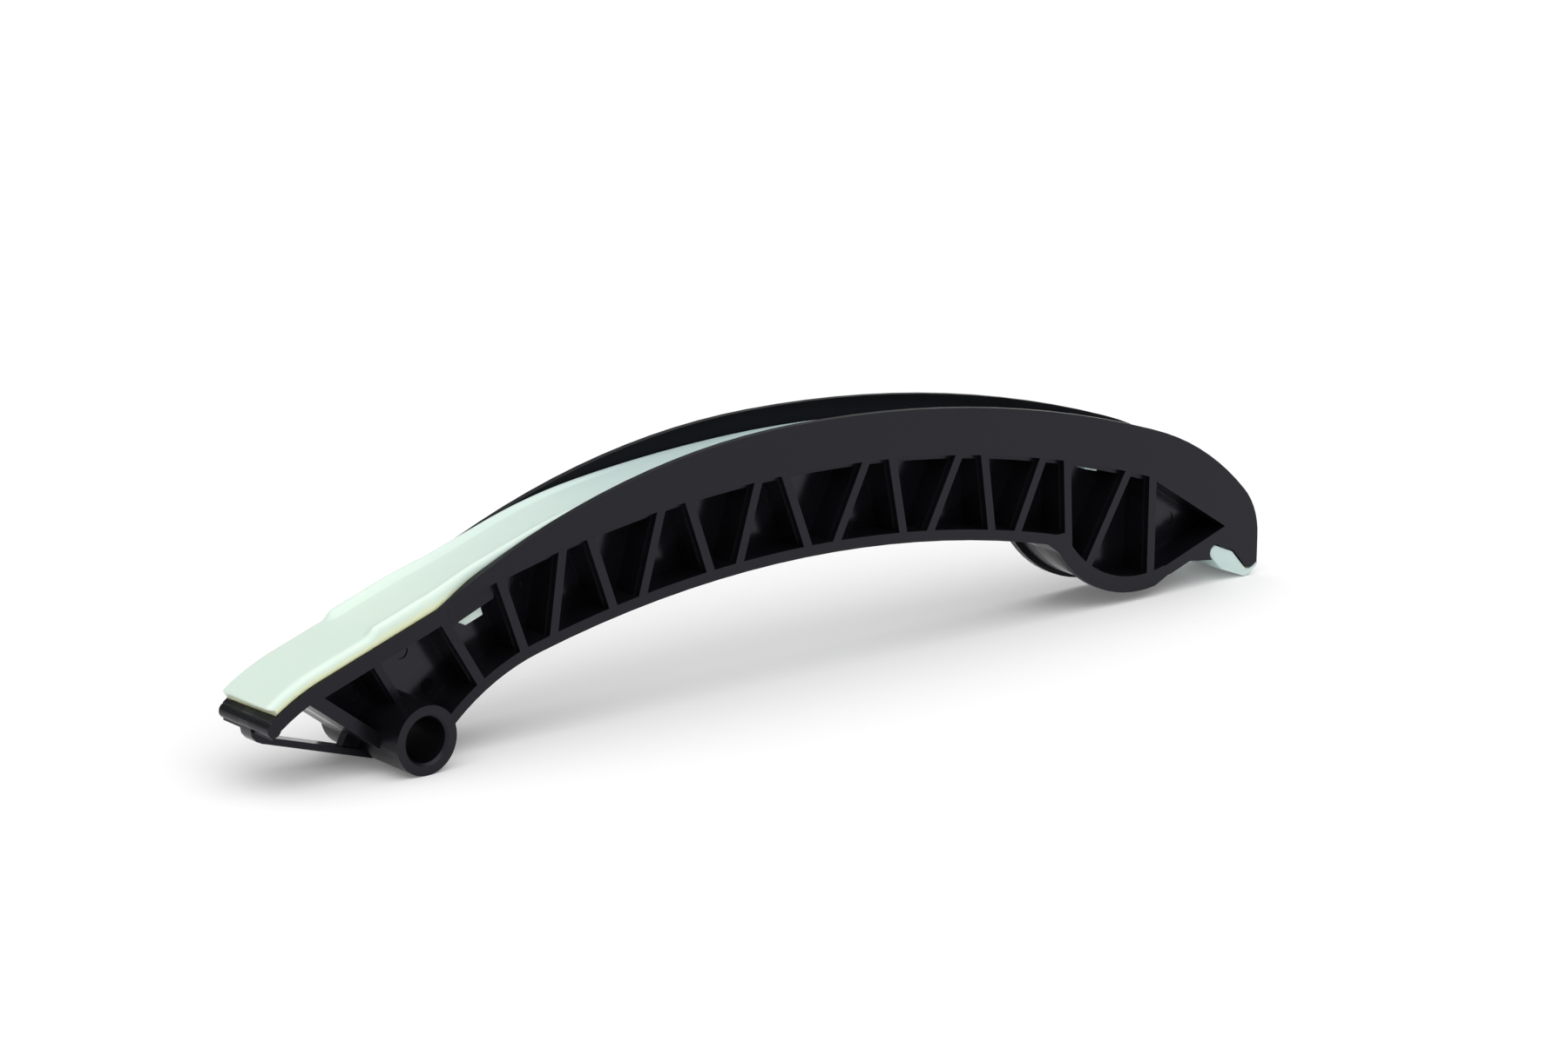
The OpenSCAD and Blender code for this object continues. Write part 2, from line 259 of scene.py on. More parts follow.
@dataclass(frozen=True)
class GlassFilledPolyamide:
    """Polyamide 66 with glass fibre, injection-moulded in black.

    It is nearly black by itself. The fibres near the skin leave a satin grain, so faces turned to
    the white floor shine a bluish grey, edges and grazing faces shine lighter, and pockets stay dark.
    On the inner faces of the flanges the shine is cut to paint shade there, and the deepest ejector
    mark gets the same cut in its shine.
    """

    profile: GuideProfile
    name: str = "polyamide_glass_filled_moulded_black"
    colour: str = "09090B"
    bloom: str = "0E0E11"
    roughness: float = 0.31
    roughness_spread: float = 0.06
    ior: float = 1.50
    specular: float = 0.28
    web_specular: float = 0.37
    # share of the shine left on the flanges' inner faces, as painted shade, and on the deepest ejector mark
    shade_and_mark_gloss: float = 0.4
    web_roughness: float = 0.17
    shine: tuple[float, float, float, float] = (0.82, 0.82, 1.0, 1.0)
    # the real grain is finer than a pixel, so it is drawn this coarse to show
    grain_mm: float = 0.30
    grain_depth_mm: float = 0.010
    grain_strength: float = 0.35
    flow_mm: float = 9.0
    web_half_mm: float = 1.5
    # half width of the channel whose flange faces get the painted shade
    shaded_channel_half_mm: float = 6.06
    mark_centre: Point = (8.5, 5.0)
    mark_r_mm: float = 1.35
    mark_half_mm: float = 1.2

    @staticmethod
    def side_distance(tree: bpy.types.NodeTree, place: bpy.types.NodeSocket) -> bpy.types.NodeSocket:
        """Add the nodes that give the distance from the middle of the width."""
        across = add_node(tree, "ShaderNodeSeparateXYZ", {0: place}).outputs["Y"]
        return add_node(tree, "ShaderNodeMath", {0: across}, operation="ABSOLUTE").outputs[0]

    def shade_and_mark_share(self, tree: bpy.types.NodeTree, place: bpy.types.NodeSocket,
                   side: bpy.types.NodeSocket) -> bpy.types.NodeSocket:
        """Add the nodes that are one where the shine is cut: inside the channel, as painted shade on the inner faces
        of the flanges, and on the deepest ejector mark.

        Args:
            tree: the node tree.
            place: object coordinates.
            side: distance from the middle of the width.

        Returns:
            The share, nought or one.
        """
        flat = add_node(tree, "ShaderNodeVectorMath", {0: place, 1: (1.0, 0.0, 1.0)}, operation="MULTIPLY")
        shares = []
        for centre, radius, reach, compare in (
                (self.profile.arc_centre(), self.profile.arc_r, self.shaded_channel_half_mm, "GREATER_THAN"),
                (self.mark_centre, self.mark_r_mm, self.mark_half_mm, "LESS_THAN")):
            x, z = self.profile.turned(centre)
            far = add_node(tree, "ShaderNodeVectorMath", {
                0: flat.outputs[0], 1: (x * MM, 0.0, z * MM)}, operation="DISTANCE")
            ring = add_node(tree, "ShaderNodeMath", {0: far.outputs["Value"], 1: radius * MM}, operation=compare)
            within = add_node(tree, "ShaderNodeMath", {0: side, 1: reach * MM}, operation="LESS_THAN")
            shares.append(add_node(tree, "ShaderNodeMath", {
                0: ring.outputs[0], 1: within.outputs[0]}, operation="MULTIPLY").outputs[0])
        return add_node(tree, "ShaderNodeMath", {0: shares[0], 1: shares[1]}, operation="MAXIMUM").outputs[0]

    def material(self) -> bpy.types.Material:
        """Build the node material.

        Returns:
            The finished material.
        """
        material = new_material(self.name)
        tree = material.node_tree
        place = add_node(tree, "ShaderNodeTexCoord").outputs["Object"]
        flow = add_node(tree, "ShaderNodeTexNoise", {
            "Vector": place, "Scale": 1 / (self.flow_mm * MM), "Detail": 3.0, "Roughness": 0.6})
        grain = add_node(tree, "ShaderNodeTexNoise", {
            "Vector": place, "Scale": 1 / (self.grain_mm * MM), "Detail": 2.0, "Roughness": 0.55})
        tint = add_node(tree, "ShaderNodeMix", {
            0: flow.outputs["Fac"], 6: linear(self.colour), 7: linear(self.bloom)}, data_type="RGBA")
        satin = add_node(tree, "ShaderNodeMapRange", {
            "Value": flow.outputs["Fac"], "From Min": 0.3, "From Max": 0.7,
            "To Min": self.roughness - self.roughness_spread / 2,
            "To Max": self.roughness + self.roughness_spread / 2})
        bump = add_node(tree, "ShaderNodeBump", {
            "Height": grain.outputs["Fac"], "Strength": self.grain_strength, "Distance": self.grain_depth_mm * MM})
        side = self.side_distance(tree, place)
        middle = add_node(tree, "ShaderNodeMath", {0: side, 1: self.web_half_mm * MM}, operation="LESS_THAN")
        finish = add_node(tree, "ShaderNodeMapRange", {
            "Value": middle.outputs[0], "To Min": satin.outputs["Result"], "To Max": self.web_roughness})
        shine = add_node(tree, "ShaderNodeMapRange", {
            "Value": middle.outputs[0], "To Min": self.specular, "To Max": self.web_specular})
        # painted shade: the shine is cut on the flanges' inner faces, and the same cut falls on the deepest ejector
        # mark
        gloss_with_shade = add_node(tree, "ShaderNodeMapRange", {
            "Value": self.shade_and_mark_share(tree, place, side),
            "To Min": shine.outputs["Result"], "To Max": self.specular * self.shade_and_mark_gloss})
        shader = add_node(tree, "ShaderNodeBsdfPrincipled", {
            "Base Color": tint.outputs[2], "Roughness": finish.outputs["Result"],
            "IOR": self.ior, "Specular IOR Level": gloss_with_shade.outputs["Result"], "Specular Tint": self.shine,
            "Normal": bump.outputs["Normal"]})
        add_node(tree, "ShaderNodeOutputMaterial", {"Surface": shader.outputs["BSDF"]})
        return material


@dataclass(frozen=True)
class NaturalPolyamide:
    """Unfilled polyamide, injection-moulded in its natural greenish white.

    Light goes a little way into it, and its smooth face has a soft shine. The warm yellow glow of its
    thin side edges against the black carrier is painted into the colour along the foot of the sides,
    and between the flanges a darker bluish tone is painted on as shade.
    """

    name: str = "polyamide_natural_moulded_greenish_white"
    colour: str = "DDEDE1"
    cloud: str = "D7E9DE"
    # painted shade: a darker bluish tone painted between the flanges, growing in over the first part of the arc and
    # partly fading back at the hook
    channel_shade: str = "C3D8D7"
    # painted light: the yellow glow painted at the foot of the side faces
    painted_edge_glow: str = "F0F3B6"
    channel_shade_from_mm: float = 5.0
    channel_shade_to_mm: float = 75.0
    hook_unshade_from_mm: float = 185.0
    hook_unshade_to_mm: float = 200.0
    hook_shade_share: float = 0.35
    roughness: float = 0.34
    ior: float = 1.53
    scatter: float = 0.6
    scatter_rgb: tuple[float, float, float] = (1.0, 0.92, 0.75)
    scatter_mm: float = 1.8
    cloud_mm: float = 14.0
    ripple_mm: float = 1.6
    ripple_depth_mm: float = 0.010
    ripple_strength: float = 0.3

    def material(self) -> bpy.types.Material:
        """Build the node material.

        Returns:
            The finished material.
        """
        material = new_material(self.name)
        tree = material.node_tree
        place = add_node(tree, "ShaderNodeTexCoord").outputs["Object"]
        cloud = add_node(tree, "ShaderNodeTexNoise", {
            "Vector": place, "Scale": 1 / (self.cloud_mm * MM), "Detail": 2.0})
        ripple = add_node(tree, "ShaderNodeTexNoise", {
            "Vector": place, "Scale": 1 / (self.ripple_mm * MM), "Detail": 2.0})
        tint = add_node(tree, "ShaderNodeMix", {
            0: cloud.outputs["Fac"], 6: linear(self.colour), 7: linear(self.cloud)}, data_type="RGBA")
        along = add_node(tree, "ShaderNodeSeparateXYZ", {0: place}).outputs["X"]
        reach = add_node(tree, "ShaderNodeMapRange", {
            "Value": along, "From Min": self.channel_shade_from_mm * MM, "From Max": self.channel_shade_to_mm * MM})
        hook = add_node(tree, "ShaderNodeMapRange", {
            "Value": along, "From Min": self.hook_unshade_from_mm * MM, "From Max": self.hook_unshade_to_mm * MM,
            "To Min": 1.0, "To Max": self.hook_shade_share})
        channel_shade_share = add_node(tree, "ShaderNodeMath", {
            0: reach.outputs["Result"], 1: hook.outputs["Result"]}, operation="MINIMUM")
        # painted shade: mix in the darker tone between the flanges
        shaded = add_node(tree, "ShaderNodeMix", {
            0: channel_shade_share.outputs[0], 6: tint.outputs[2], 7: linear(self.channel_shade)}, data_type="RGBA")
        # painted light: yellow glow painted along the foot of the side faces, read from the foot attribute
        foot = add_node(tree, "ShaderNodeAttribute", attribute_name="foot")
        warm = add_node(tree, "ShaderNodeMix", {
            0: foot.outputs["Fac"], 6: shaded.outputs[2], 7: linear(self.painted_edge_glow)}, data_type="RGBA")
        bump = add_node(tree, "ShaderNodeBump", {
            "Height": ripple.outputs["Fac"], "Strength": self.ripple_strength, "Distance": self.ripple_depth_mm * MM})
        shader = add_node(tree, "ShaderNodeBsdfPrincipled", {
            "Base Color": warm.outputs[2], "Roughness": self.roughness, "IOR": self.ior,
            "Subsurface Weight": self.scatter, "Subsurface Radius": self.scatter_rgb,
            "Subsurface Scale": self.scatter_mm * MM, "Normal": bump.outputs["Normal"]})
        add_node(tree, "ShaderNodeOutputMaterial", {"Surface": shader.outputs["BSDF"]})
        return material


@dataclass(frozen=True)
class PaperSweep:
    """White background paper, coated matt.

    It takes the soft shadow of the guide. What the camera and the reflections see of it glows a
    little as well, so that it runs out to plain white.
    """

    name: str = "paper_sweep_white"
    colour: str = "F2F2F2"
    glow: float = 0.11

    @staticmethod
    def seen_share(tree: bpy.types.NodeTree) -> bpy.types.NodeSocket:
        """Add the nodes that are one for camera, glossy and transmission rays.

        Args:
            tree: the node tree.

        Returns:
            The share, nought or one.
        """
        path = add_node(tree, "ShaderNodeLightPath").outputs
        first = add_node(tree, "ShaderNodeMath", {
            0: path["Is Camera Ray"], 1: path["Is Glossy Ray"]}, operation="MAXIMUM")
        return add_node(tree, "ShaderNodeMath", {
            0: first.outputs[0], 1: path["Is Transmission Ray"]}, operation="MAXIMUM").outputs[0]

    def material(self) -> bpy.types.Material:
        """Build the node material.

        Returns:
            The finished material.
        """
        material = new_material(self.name)
        tree = material.node_tree
        paper = add_node(tree, "ShaderNodeBsdfDiffuse", {"Color": linear(self.colour)})
        glow = add_node(tree, "ShaderNodeMath", {0: self.seen_share(tree), 1: self.glow}, operation="MULTIPLY")
        light = add_node(tree, "ShaderNodeEmission", {"Strength": glow.outputs[0]})
        both = add_node(tree, "ShaderNodeAddShader", {0: paper.outputs[0], 1: light.outputs[0]})
        add_node(tree, "ShaderNodeOutputMaterial", {"Surface": both.outputs[0]})
        return material


@dataclass
class RoundedPrism:
    """A solid with one outline right across its width, all of its edges rounded."""

    corners: list[Point]
    radii: list[float]
    edge_r: float = 0.25
    most_run: float = 0.48
    steps: int = 5
    rings: int = 4

    def outline(self) -> list[Point]:
        """Round each corner of the outline by its own radius.

        Returns:
            The points of the outline in order.
        """
        points: list[Point] = []
        count = len(self.corners)
        for i, (corner, radius) in enumerate(zip(self.corners, self.radii)):
            here = Vector(corner)
            back, ahead = Vector(self.corners[i - 1]) - here, Vector(self.corners[(i + 1) % count]) - here
            if radius <= 0:
                points.append(corner)
                continue
            half = back.angle(ahead) / 2
            run = min(radius / math.tan(half), self.most_run * back.length, self.most_run * ahead.length)
            first, last = here + back.normalized() * run, here + ahead.normalized() * run
            for k in range(self.steps + 1):
                t = k / self.steps
                spot = first * (1 - t) ** 2 + here * (2 * t * (1 - t)) + last * t * t
                points.append((spot.x, spot.y))
        return points

    def inset(self, points: list[Point], depth: float) -> list[Point]:
        """Move an outline inwards.

        Args:
            points: the outline, counter-clockwise.
            depth: how far it moves.

        Returns:
            The moved points.
        """
        moved = []
        for i, point in enumerate(points):
            run = Vector(points[(i + 1) % len(points)]) - Vector(points[i - 1])
            inward = Vector((-run.y, run.x)).normalized()
            moved.append((point[0] + inward.x * depth, point[1] + inward.y * depth))
        return moved

    def add(self, bm: bmesh.types.BMesh, low: float, high: float, place: Matrix) -> None:
        """Add the solid to a mesh.

        Args:
            bm: the mesh.
            low: lower end of the width in millimetres.
            high: upper end of the width in millimetres.
            place: where the local frame of the outline lies, in metres.
        """
        base = self.outline()
        stages = []
        for i in range(self.rings + 1):
            turn = math.radians(90 * i / self.rings)
            stages.append((self.edge_r * (1 - math.sin(turn)), self.edge_r * (1 - math.cos(turn))))
        loops = [(low + rise, inset) for inset, rise in stages]
        loops += [(high - rise, inset) for inset, rise in reversed(stages)]
        rings = [[bm.verts.new(place @ Vector((x * MM, y * MM, z * MM))) for x, z in self.inset(base, inset)]
                 for y, inset in loops]
        for one, two in zip(rings, rings[1:]):
            for i in range(len(base)):
                j = (i + 1) % len(base)
                bm.faces.new((one[i], two[i], two[j], one[j]))
        bm.faces.new(rings[0])
        bm.faces.new(list(reversed(rings[-1])))


@dataclass(frozen=True)
class LugPair:
    """Sizes of a pair of locking lugs, in millimetres."""

    x: float
    depth: float
    lead: float
    half_length: float


@dataclass
class SlideLining:
    """The clip-on lining: a swept band with side lips, a hook and two pairs of locking lugs."""

    profile: GuideProfile
    thickness: float = 2.0
    seat_gap: float = 0.1
    seat_sink: float = 0.07
    half_width: float = 5.85
    ramp_half_width: float = 6.85
    ramp_end: Point = (5.5, 16.0)
    shoulder_r: float = 1.0
    far_shoulder: float = 0.4
    lip_height: float = 0.95
    lip_round: Point = (0.85, 1.25)
    lip_width: float = 2.0
    lip_in: Point = (-7.35, -4.95)
    lip_out: Point = (5.0, 75.0)
    foot_r: float = 0.1
    # side band width, and height up the side, over which the painted yellow glow fades out
    painted_glow_band: float = 0.2
    painted_glow_rise: float = 1.3
    foot_steps: int = 3
    shoulder_steps: int = 9
    lip_steps: int = 6
    nose_round: float = 0.35
    nose_edge: float = 1.75
    near_corner_r: float = 0.9
    far_corner_r: float = 0.25
    corner_run: float = 3.0
    tail: tuple[Point, ...] = ((0.0, 0.6), (0.0, 1.2), (0.0, 1.8), (0.0, 2.4), (0.0, 3.0),
                               (0.03, 3.6), (0.1, 4.1), (0.25, 4.6), (0.4, 4.95))
    tail_run: float = 1.6
    tail_thinning: float = 0.45
    step: float = 0.9
    fine: float = 0.2
    hook_r: float = 1.33
    hook_half: float = 7.1
    hook_edge_r: float = 0.3
    hook_end: Point = (-9.25, -0.31)
    hook_turn: tuple[int, int, int] = (84, 226, 10)
    # X and Z from the furthest point of the seat, and the radius of each corner of the hook
    hook_corners: tuple[tuple[float, float, float], ...] = (
        (-7.25, -4.11, 2.6), (-1.1, -6.53, 0.9), (0.29, -6.08, 0.9), (1.95, -4.9, 0.5), (2.07, -4.11, 0.0),
        (0.9, -4.73, 0.4), (0.05, -5.06, 0.6), (-0.95, -4.86, 0.6), (-1.7, -4.18, 0.5), (-4.65, -0.9, 0.9))
    ramp_lugs: LugPair = LugPair(13.05, 6.75, 1.13, 2.5)
    arc_lugs: LugPair = LugPair(158.6, 4.35, 0.3, 1.75)
    lug_side: float = 3.6
    lug_half_width: float = 1.25
    lug_root: float = 0.4
    lug_r: float = 0.3
    weld: float = 0.002
    sharp_deg: float = 42.0

    def centre_line(self) -> list[Point]:
        """Follow the middle of the band from the nose, round the exit end and down into the hook.

        Returns:
            The points of the line in order.
        """
        line = self.profile.seat_line(self.seat_gap + self.thickness / 2, self.step, self.fine)
        x, z = line[-1]
        return line + [(x - back, z - down) for back, down in self.tail]

    def half_section(self, crest: float, width: float, height: float) -> list[Point]:
        """Return half of the band's section, from the foot of its side to near the middle.

        Args:
            crest: height of the edge above the running face.
            width: width of the rounded shoulder.
            height: height of the rounded shoulder.

        Returns:
            Points of width and height.
        """
        w, top, low = self.half_width, self.thickness / 2, -self.thickness / 2 - self.seat_sink
        turns = [math.radians(90 * i / self.foot_steps) for i in range(self.foot_steps + 1)]
        half = [(w - self.foot_r * (1 - math.sin(t)), low + self.foot_r * (1 - math.cos(t))) for t in turns]
        turns = [math.radians(90 * i / self.shoulder_steps) for i in range(self.shoulder_steps + 1)]
        half += [(w - width * (1 - math.cos(t)), top + crest - height * (1 - math.sin(t))) for t in turns]
        run = self.lip_width - width
        falls = [i / self.lip_steps for i in range(1, self.lip_steps + 1)]
        half += [(w - width - run * fall, top + crest * (1 - smooth(fall, 0.0, 1.0))) for fall in falls]
        return half + [((w - self.lip_width) * f, top) for f in (0.66, 0.33)]

    def section(self, lipped: bool, share: float = 1.0) -> list[Point]:
        """Return the closed section, width along X and height along Y.

        Args:
            lipped: whether it has the side lips.
            share: share of the full shoulder radius.

        Returns:
            The points in order.
        """
        if lipped:
            half = self.half_section(self.lip_height, self.lip_round[0] * share, self.lip_round[1] * share)
        else:
            half = self.half_section(0.0, self.shoulder_r * share, self.shoulder_r * share)
        return half + [(0.0, self.thickness / 2)] + [(-x, y) for x, y in reversed(half)]

    @staticmethod
    def sweep_tree(material: bpy.types.Material) -> bpy.types.GeometryNodeTree:
        """Build the node tree that sweeps a section and numbers its rows and stations.

        Args:
            material: finish of the swept band.

        Returns:
            The tree, with the section object as an input.
        """
        tree = bpy.data.node_groups.new("lining_sweep", "GeometryNodeTree")
        face = tree.interface
        face.new_socket("Geometry", in_out="INPUT", socket_type="NodeSocketGeometry")
        face.new_socket("Section", in_out="INPUT", socket_type="NodeSocketObject")
        face.new_socket("Geometry", in_out="OUTPUT", socket_type="NodeSocketGeometry")
        given = add_node(tree, "NodeGroupInput").outputs
        number = add_node(tree, "GeometryNodeInputIndex").outputs[0]
        framed = add_node(tree, "GeometryNodeSetCurveNormal", {
            "Curve": given["Geometry"], "Normal": (0.0, 1.0, 0.0)}, mode="FREE")
        path = add_node(tree, "GeometryNodeStoreNamedAttribute", {
            "Geometry": framed.outputs[0], "Name": "row", "Value": number}, data_type="INT", domain="POINT")
        shape = add_node(tree, "GeometryNodeObjectInfo", {"Object": given["Section"]})
        section = add_node(tree, "GeometryNodeStoreNamedAttribute", {
            "Geometry": shape.outputs["Geometry"], "Name": "station", "Value": number},
            data_type="INT", domain="POINT")
        swept = add_node(tree, "GeometryNodeCurveToMesh", {
            "Curve": path.outputs[0], "Profile Curve": section.outputs[0], "Fill Caps": True})
        real = add_node(tree, "GeometryNodeRealizeInstances", {0: swept.outputs[0]})
        dressed = add_node(tree, "GeometryNodeSetMaterial", {"Geometry": real.outputs[0], "Material": material})
        add_node(tree, "NodeGroupOutput", {"Geometry": dressed.outputs[0]})
        return tree

    @staticmethod
    def poly_curve(name: str, points: list[tuple[float, float, float]], closed: bool) -> bpy.types.Object:
        """Make a curve object of straight pieces.

        Args:
            name: name of the object.
            points: the points that it goes through, in metres.
            closed: whether it ends where it starts.

        Returns:
            The curve object.
        """
        curve = bpy.data.curves.new(name, "CURVE")
        curve.dimensions = "3D"
        spline = curve.splines.new("POLY")
        spline.points.add(len(points) - 1)
        for place, point in zip(spline.points, points):
            place.co = (*point, 1.0)
        spline.use_cyclic_u = closed
        return link_object(name, curve)

    def swept_band(self, line: list[Point], material: bpy.types.Material) -> bpy.types.Mesh:
        """Sweep the plain section along a line.

        Args:
            line: the line in millimetres.
            material: finish of the band.

        Returns:
            The band as a plain mesh.
        """
        path = self.poly_curve("lining_path", [(x * MM, 0.0, z * MM) for x, z in line], False)
        section = self.poly_curve("lining_section", [(x * MM, y * MM, 0.0) for x, y in self.section(False)], True)
        tree = self.sweep_tree(material)
        modifier = path.modifiers.new("sweep", "NODES")
        modifier.node_group = tree
        for item in tree.interface.items_tree:
            if item.in_out == "INPUT" and item.name == "Section":
                modifier[item.identifier] = section
        mesh = plain_mesh(path)
        for helper in (path, section):
            bpy.data.objects.remove(helper)
        return mesh

    def shape_band(self, mesh: bpy.types.Mesh, line: list[Point]) -> None:
        """Widen the ramp, run the lips in and out, round the nose end and thin the foot that enters the hook.
        Store in the attribute foot how much painted yellow glow each point takes near the foot of the sides.

        Args:
            mesh: the swept band, with its rows and stations numbered.
            line: the line it was swept along.
        """
        forms = [(self.section(False, share), self.section(True, share)) for share in (1.0, self.far_shoulder)]
        low = -self.thickness / 2 - self.seat_sink
        spots = [Vector(p) for p in line]
        runs = [0.0]
        for one, two in zip(spots, spots[1:]):
            runs.append(runs[-1] + (two - one).length)
        stance = self.profile.stance().to_3x3()
        foot = [0.0] * len(mesh.vertices)
        rows, stations = mesh.attributes["row"].data, mesh.attributes["station"].data
        for vertex in mesh.vertices:
            row, station = rows[vertex.index].value, stations[vertex.index].value
            spot, run = spots[row], runs[row]
            plain, lipped = forms[vertex.co.y > 0]
            ahead = (spots[min(row + 1, len(spots) - 1)] - spots[max(row - 1, 0)]).normalized()
            outward = Vector((-ahead.y, ahead.x))
            share = smooth(spot.x, *self.lip_in) * (1 - smooth(spot.x, *self.lip_out))
            width = plain[station][0] + share * (lipped[station][0] - plain[station][0])
            height = plain[station][1] + share * (lipped[station][1] - plain[station][1])
            bend = max(0.0, 1 - run / self.nose_round)
            least = self.nose_edge / self.thickness
            height = low + (height - low) * (least + (1 - least) * math.sqrt(1 - bend * bend))
            height *= 1 - self.tail_thinning * smooth(run, runs[-1] - self.tail_run, runs[-1])
            # painted light: share of painted yellow glow, largest at the foot of the side faces
            if abs(width) > self.half_width - self.painted_glow_band:
                foot[vertex.index] = max(0.0, 1 - (height - low) / self.painted_glow_rise)
            corner = self.near_corner_r if vertex.co.y < 0 else self.far_corner_r
            beyond = min(corner, max(0.0, abs(width) - self.half_width + corner))
            slip = corner - math.sqrt(corner ** 2 - beyond ** 2)
            width *= 1 + (self.ramp_half_width / self.half_width - 1) * (1 - smooth(spot.x, *self.ramp_end))
            spot = spot + outward * height + ahead * slip * max(0.0, 1 - run / self.corner_run) ** 2
            side = math.copysign(abs(width), vertex.co.y) if abs(width) > TINY else 0.0
            vertex.co = (stance @ Vector((spot.x, side, spot.y))) * MM
        mesh.attributes.new("foot", "FLOAT", "POINT").data.foreach_set("value", foot)

    def add_hook(self, bm: bmesh.types.BMesh) -> None:
        """Add the hook that closes round the tip of the carrier, with its rounded end.

        Args:
            bm: the mesh of the lining.
        """
        bulb = [self.profile.polar(self.hook_end, self.hook_r, a) for a in range(*self.hook_turn)]
        corners = bulb + [(x, z) for x, z, _ in self.hook_corners]
        radii = [0.0] * len(bulb) + [radius for _, _, radius in self.hook_corners]
        hook = RoundedPrism(corners, radii, edge_r=self.hook_edge_r)
        x, z = self.profile.exit_point()
        place = self.profile.stance() @ Matrix.Translation((x * MM, 0.0, z * MM))
        hook.add(bm, -self.hook_half, self.hook_half, place)

    def add_lugs(self, bm: bmesh.types.BMesh) -> None:
        """Add the locking lugs that stand in the slots of the seat, the first pair with a lead-in.

        Args:
            bm: the mesh of the lining.
        """
        guide, ramp, arc = self.profile, self.ramp_lugs, self.arc_lugs
        lean = -math.asin((arc.x - guide.arc_x) / guide.arc_r)
        stands = [(ramp, guide.ramp_height(ramp.x), math.radians(guide.ramp_deg)),
                  (arc, guide.arc_z + guide.arc_r * math.cos(lean), lean)]
        for pair, z, slope in stands:
            half, foot = pair.half_length, -pair.depth
            corners = [(-half, self.lug_root), (-half, pair.lead + foot), (pair.lead - half, foot),
                       (half, foot), (half, self.lug_root)]
            lug = RoundedPrism(corners, [self.lug_r] * len(corners))
            place = guide.stance() @ Matrix.Translation((pair.x * MM, 0.0, z * MM)) @ Matrix.Rotation(-slope, 4, "Y")
            for side in (-self.lug_side, self.lug_side):
                lug.add(bm, side - self.lug_half_width, side + self.lug_half_width, place)

    def build(self, material: bpy.types.Material) -> bpy.types.Object:
        """Build the lining as one piece that stands for its solid.

        Args:
            material: finish of the lining.

        Returns:
            The finished piece.
        """
        line = self.centre_line()
        mesh = self.swept_band(line, material)
        self.shape_band(mesh, line)
        bm = bmesh.new()
        bm.from_mesh(mesh)
        bmesh.ops.remove_doubles(bm, verts=bm.verts, dist=self.weld * MM)
        self.add_hook(bm)
        self.add_lugs(bm)
        bmesh.ops.recalc_face_normals(bm, faces=bm.faces)
        for face in bm.faces:
            face.smooth = True
        bm.to_mesh(mesh)
        bm.free()
        mesh.set_sharp_from_angle(angle=math.radians(self.sharp_deg))
        mesh.materials.clear()
        mesh.materials.append(material)
        piece = link_object("slide_lining_moulding", mesh)
        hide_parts("slide_lining")
        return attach(piece, "root")


@dataclass
class Carrier:
    """The black carrier: its solid with the small rounded edges of a moulding."""

    profile: GuideProfile
    edge_r: float = 0.27
    edge_deg: float = 38.0
    flat_deg: float = 0.3
    weld: float = 0.002
    root_corners: tuple[Point, ...] = ((7.2, 20.2), (8.6, 16.8), (10.6, 16.8), (10.6, 20.9))
    root_half: float = 5.98
    root_edge_r: float = 0.02

    def add_ledge_root(self, mesh: bpy.types.Mesh) -> None:
        """Close the corner between the rib and the ledge that carries the first pair of lugs.

        Args:
            mesh: the mesh of the carrier.
        """
        corners = list(self.root_corners)
        root = RoundedPrism(corners, [0.0] * len(corners), edge_r=self.root_edge_r, rings=1)
        bm = bmesh.new()
        bm.from_mesh(mesh)
        root.add(bm, -self.root_half, self.root_half, self.profile.stance())
        bm.to_mesh(mesh)
        bm.free()

    def build(self, solid: bpy.types.Object, material: bpy.types.Material) -> bpy.types.Object:
        """Build the carrier from a merged copy of its solid, with its sharp edges rounded.

        Args:
            solid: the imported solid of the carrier.
            material: finish of the carrier.

        Returns:
            The finished piece.
        """
        mesh = solid.data.copy()
        bm = bmesh.new()
        bm.from_mesh(mesh)
        bmesh.ops.remove_doubles(bm, verts=bm.verts, dist=self.weld * MM)
        bmesh.ops.dissolve_limit(bm, angle_limit=math.radians(self.flat_deg), verts=bm.verts, edges=bm.edges)
        for face in bm.faces:
            face.smooth = True
        bm.to_mesh(mesh)
        bm.free()
        mesh.materials.clear()
        mesh.materials.append(material)
        rough = link_object("carrier_sharp", mesh)
        bevel = rough.modifiers.new("moulded_edges", "BEVEL")
        bevel.width = self.edge_r * MM
        bevel.segments = 2
        bevel.limit_method = "ANGLE"
        bevel.angle_limit = math.radians(self.edge_deg)
        bevel.use_clamp_overlap = True
        flats = rough.modifiers.new("flat_faces", "WEIGHTED_NORMAL")
        flats.mode = "FACE_AREA"
        flats.keep_sharp = True
        done = plain_mesh(rough)
        bpy.data.objects.remove(rough)
        self.add_ledge_root(done)
        piece = link_object("carrier_moulding", done)
        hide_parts("carrier")
        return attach(piece, "root")


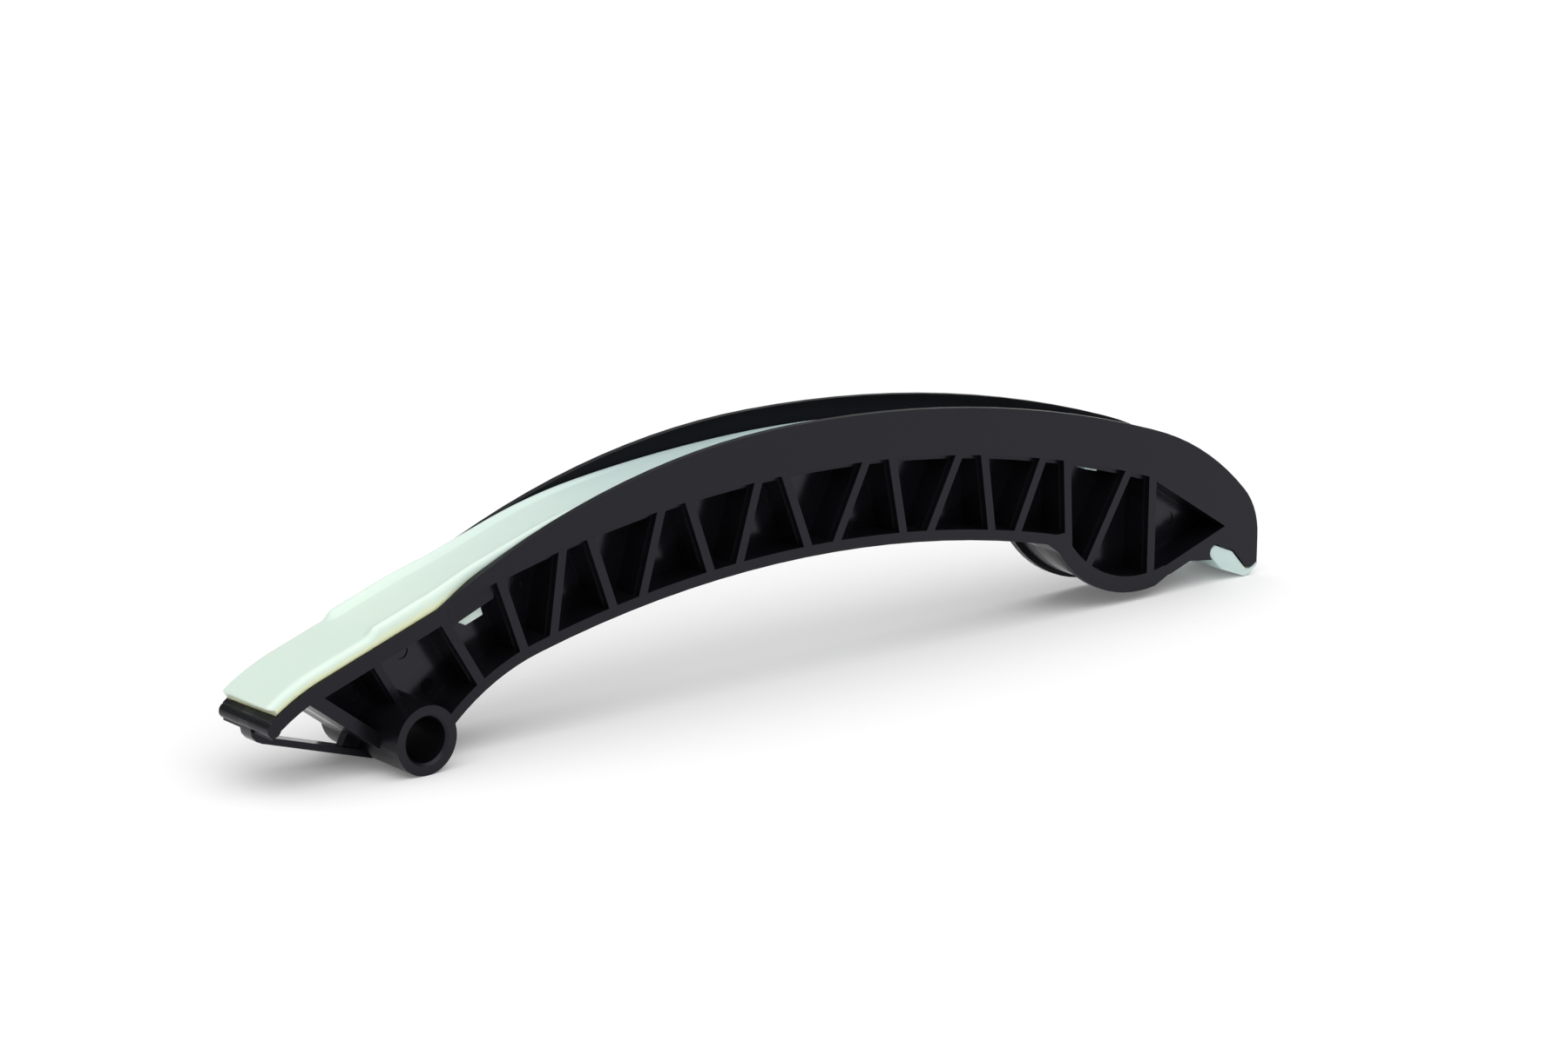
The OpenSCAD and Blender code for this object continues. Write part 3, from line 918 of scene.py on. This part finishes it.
@dataclass
class Studio:
    """White sweep, overhead soft light and the camera."""

    profile: GuideProfile
    azimuth_deg: float = -39.839
    elevation_deg: float = 15.689
    roll_deg: float = 0.512
    distance: float = 927.53
    focus: tuple[float, float, float] = (87.56, 0.0, 19.86)
    lens: float = 119.82
    sensor: float = 36.0
    clip: Point = (0.01, 50.0)
    floor_size: float = 8.0
    key_strength: float = 1.75
    key_angle_deg: float = 90.0
    key_aim: tuple[float, float, float] = (0.0, -0.12, 1.0)
    fill_strength: float = 1.3
    fill_angle_deg: float = 110.0
    fill_aim: tuple[float, float, float] = (-0.45, -0.75, 0.40)
    sky: float = 0.30

    def camera(self) -> None:
        """Set the camera at the photograph's angle."""
        a, e, r = (math.radians(v) for v in (self.azimuth_deg, self.elevation_deg, self.roll_deg))
        back = Vector((math.sin(a) * math.cos(e), -math.cos(a) * math.cos(e), math.sin(e)))
        right = Vector((math.cos(a), math.sin(a), 0.0))
        up = back.cross(right)
        side = right * math.cos(r) + up * math.sin(r)
        head = -right * math.sin(r) + up * math.cos(r)
        place = Vector(self.focus) + self.distance * back
        turn = Matrix((side, head, back)).transposed().to_4x4()
        lens = bpy.data.cameras.new("camera")
        lens.lens = self.lens
        lens.sensor_width = self.sensor
        lens.sensor_fit = "HORIZONTAL"
        lens.clip_start, lens.clip_end = self.clip
        view = link_object("camera", lens)
        view.matrix_world = self.profile.stance() @ Matrix.Translation(place * MM) @ turn
        bpy.context.scene.camera = view

    def world(self) -> None:
        """Set a plain white world at a low level."""
        world = bpy.data.worlds.new("white_studio")
        bpy.context.scene.world = world
        world.use_nodes = True
        tree = world.node_tree
        tree.nodes.clear()
        light = add_node(tree, "ShaderNodeBackground", {"Color": (1.0, 1.0, 1.0, 1.0), "Strength": self.sky})
        add_node(tree, "ShaderNodeOutputWorld", {"Surface": light.outputs[0]})

    def floor(self, height: float) -> None:
        """Lay the pale floor under the guide.

        Args:
            height: Z of the floor in metres.
        """
        mesh = bpy.data.meshes.new("floor")
        h = self.floor_size / 2
        mesh.from_pydata([(-h, -h, height), (h, -h, height), (h, h, height), (-h, h, height)], [], [(0, 1, 2, 3)])
        mesh.materials.append(PaperSweep().material())
        link_object("floor", mesh)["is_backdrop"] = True

    def lamps(self) -> None:
        """Hang the broad overhead light and a weaker one in front."""
        for name, strength, angle, aim in (
                ("overhead_softbox", self.key_strength, self.key_angle_deg, self.key_aim),
                ("front_fill", self.fill_strength, self.fill_angle_deg, self.fill_aim)):
            sun = bpy.data.lights.new(name, "SUN")
            sun.energy = strength
            sun.angle = math.radians(angle)
            link_object(name, sun).rotation_euler = Vector(aim).to_track_quat("Z", "Y").to_euler()

    def build(self, height: float) -> None:
        """Build the whole studio.

        Args:
            height: Z of the floor in metres.
        """
        self.camera()
        self.world()
        self.floor(height)
        self.lamps()
        bpy.context.scene.view_settings.view_transform = "Standard"


def main() -> None:
    """Build the guide and its studio."""
    logging.basicConfig(level=logging.INFO, format="%(name)s: %(message)s")
    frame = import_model()
    cad_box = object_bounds()
    profile = GuideProfile()
    black, white = GlassFilledPolyamide(profile).material(), NaturalPolyamide().material()
    pieces = [Carrier(profile).build(frame["nodes"]["carrier"], black), SlideLining(profile).build(white)]
    Studio(profile).build(cad_box[0][2])
    for piece in pieces:
        LOG.info("%s: %d faces", piece.name, len(piece.data.polygons))


if __name__ == "__main__":
    main()
